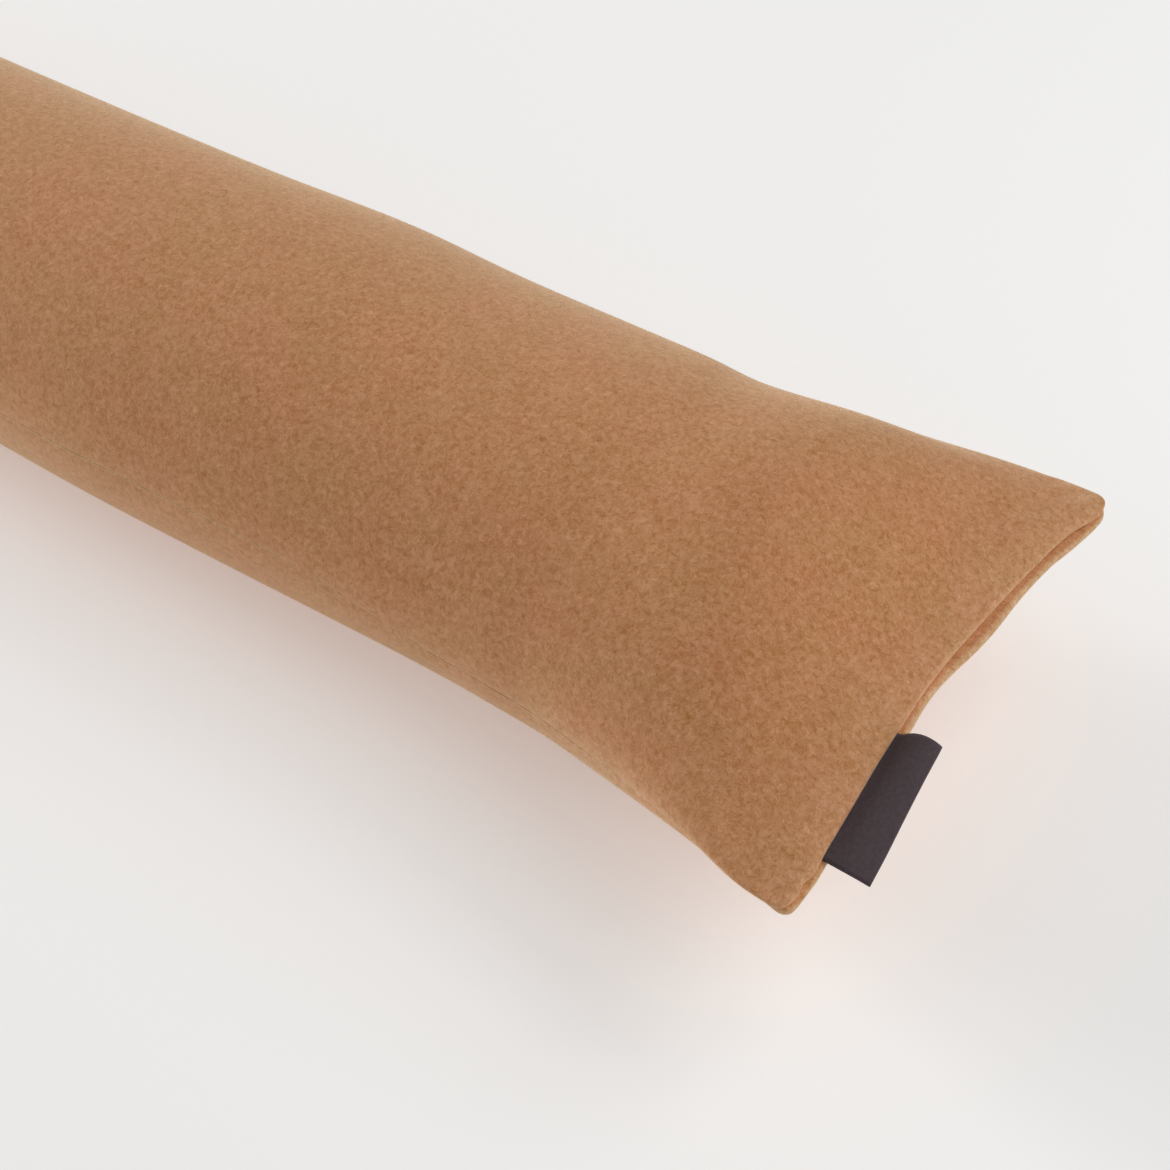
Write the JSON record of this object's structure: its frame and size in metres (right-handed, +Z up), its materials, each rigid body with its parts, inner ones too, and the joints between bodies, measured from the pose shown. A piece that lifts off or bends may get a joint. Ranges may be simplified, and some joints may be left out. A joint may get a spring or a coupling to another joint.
{
  "type": "draught excluder",
  "caption": "Long slim stuffed fabric draught excluder with turned seams, drawn-in ends with flared corners, and a small folded bare label in an end seam.",
  "frame": {"origin": "centre of the floor_rest face on the surface that the excluder lies on, under the middle of the cushion's length", "axes": "+X along the length towards the end with the label, +Z up from the surface, and -Y towards the nearer long seam"},
  "size_m": [0.9083, 0.155, 0.0897],
  "materials": {
    "felt": "matt camel-brown felted wool cloth with a fine mottled fibre",
    "tape": "matt near-black woven tape, bare"
  },
  "bodies": {
    "root": {"cushion": "felt", "label": "tape"}
  },
  "joints": []
}
